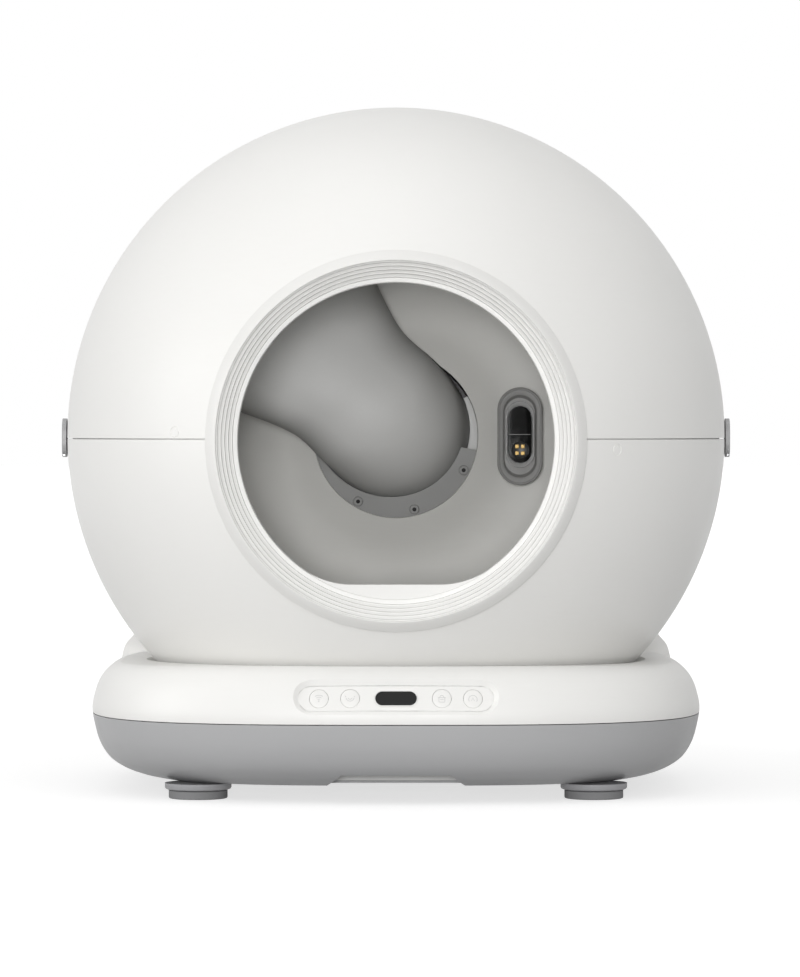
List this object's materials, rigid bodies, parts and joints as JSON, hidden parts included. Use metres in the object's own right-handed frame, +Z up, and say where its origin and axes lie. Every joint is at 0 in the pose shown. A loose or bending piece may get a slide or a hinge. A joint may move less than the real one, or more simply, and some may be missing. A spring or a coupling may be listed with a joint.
{
  "type": "self cleaning litter box",
  "caption": "Globe shaped self cleaning litter box with a round ribbed entry, an inner turning drum, a chute to the hub, a touch panel and a pull-out waste drawer.",
  "frame": {"origin": "middle of the underside of the bounding box, on the floor the feet stand on", "axes": "+Z up, the round entry faces -Y, +X to the right of someone looking into the entry"},
  "size_m": [0.568, 0.5064, 0.5754],
  "materials": {
    "white_shell": "satin white moulded shell",
    "white_ring": "satin white moulded ring",
    "light_grey": "satin light grey",
    "liner_grey": "matte warm grey liner",
    "chute_grey": "matte mid grey",
    "dark_grey": "matte darker grey",
    "latch_grey": "satin grey",
    "foot_grey": "satin grey",
    "rubber_grey": "soft grey pad",
    "gear_plastic": "natural gear plastic",
    "roller_plastic": "black roller plastic",
    "gloss_black": "gloss black",
    "chrome_trim": "polished",
    "gold_contact": "bright contact pads in a dark block",
    "board_green": "circuit board green",
    "steel": "plain steel",
    "filter_black": "carbon filter block"
  },
  "bodies": {
    "base": {"base_lower_shell": "light_grey", "base_upper_shell": "white_shell", "waste_guide": "light_grey", "main_board": "board_green", "foot_front_left": "foot_grey", "foot_front_right": "foot_grey", "foot_rear_left": "foot_grey", "foot_rear_right": "foot_grey", "foot_pad_front_left": "rubber_grey", "foot_pad_front_right": "rubber_grey", "foot_pad_rear_left": "rubber_grey", "foot_pad_rear_right": "rubber_grey", "control_panel": "white_shell", "display_lens": "gloss_black", "control_board": "board_green", "power_inlet": "gloss_black", "globe_lower_shell": "white_shell", "globe_upper_shell": "white_shell", "entry_ring": "white_ring", "hub_bearing": "light_grey", "left_roller_bracket": "light_grey", "right_roller_bracket": "light_grey", "gear_motor": "steel", "left_latch_pin": "steel", "right_latch_pin": "steel"},
    "drawer": {"drawer_front": "light_grey", "drawer_tray": "dark_grey", "drawer_filter": "filter_black"},
    "drum": {"litter_drum": "liner_grey", "waste_chute": "chute_grey", "sieve": "chute_grey", "hub_flange": "dark_grey", "ring_gear": "gear_plastic", "sensor_surround": "dark_grey", "sensor_bezel": "chrome_trim", "sensor_lens": "gloss_black", "contact_block": "gold_contact", "hub_screw_1": "steel", "hub_screw_2": "steel", "hub_screw_3": "steel"},
    "pinion": {"drive_pinion": "gear_plastic"},
    "roller_left": {"left_roller": "roller_plastic"},
    "roller_right": {"right_roller": "roller_plastic"},
    "wifi_button": {"button_1": "white_shell"},
    "level_button": {"button_2": "white_shell"},
    "empty_button": {"button_3": "white_shell"},
    "cycle_button": {"button_4": "white_shell"},
    "latch_left": {"left_latch": "latch_grey"},
    "latch_right": {"right_latch": "latch_grey"}
  },
  "joints": [
    {"name": "drum_spin", "type": "hinge", "parent": "base", "child": "drum", "pos_m": [0, -0.008, 0.296], "axis": [0, 1, 0], "continuous": true},
    {"name": "pinion_spin", "type": "hinge", "parent": "base", "child": "pinion", "pos_m": [0.10329, 0.19, 0.26244], "axis": [0, 1, 0], "continuous": true},
    {"name": "roller_left_spin", "type": "hinge", "parent": "base", "child": "roller_left", "pos_m": [-0.10146, -0.207, 0.16614], "axis": [0, 1, 0], "continuous": true},
    {"name": "roller_right_spin", "type": "hinge", "parent": "base", "child": "roller_right", "pos_m": [0.10146, -0.207, 0.16614], "axis": [0, 1, 0], "continuous": true},
    {"name": "drawer_slide", "type": "slide", "parent": "base", "child": "drawer", "axis": [0, -1, 0], "range_m": [0, 0.3]},
    {"name": "wifi_button_press", "type": "slide", "parent": "base", "child": "wifi_button", "axis": [0, 0.9397, -0.342], "range_m": [0, 0.001], "stiffness_N_per_m": 600},
    {"name": "level_button_press", "type": "slide", "parent": "base", "child": "level_button", "axis": [0, 0.9397, -0.342], "range_m": [0, 0.001], "stiffness_N_per_m": 600},
    {"name": "empty_button_press", "type": "slide", "parent": "base", "child": "empty_button", "axis": [0, 0.9397, -0.342], "range_m": [0, 0.001], "stiffness_N_per_m": 600},
    {"name": "cycle_button_press", "type": "slide", "parent": "base", "child": "cycle_button", "axis": [0, 0.9397, -0.342], "range_m": [0, 0.001], "stiffness_N_per_m": 600},
    {"name": "latch_left_swing", "type": "hinge", "parent": "base", "child": "latch_left", "pos_m": [-0.28215, -0.008, 0.28], "axis": [0, -1, 0], "range_deg": [0, 60]},
    {"name": "latch_right_swing", "type": "hinge", "parent": "base", "child": "latch_right", "pos_m": [0.28215, -0.008, 0.28], "axis": [0, 1, 0], "range_deg": [0, 60]}
  ],
  "couplings": [
    {"joint": "pinion_spin", "follows": "drum_spin", "ratio": -5},
    {"joint": "roller_left_spin", "follows": "drum_spin", "ratio": -12.708},
    {"joint": "roller_right_spin", "follows": "drum_spin", "ratio": -12.708}
  ]
}
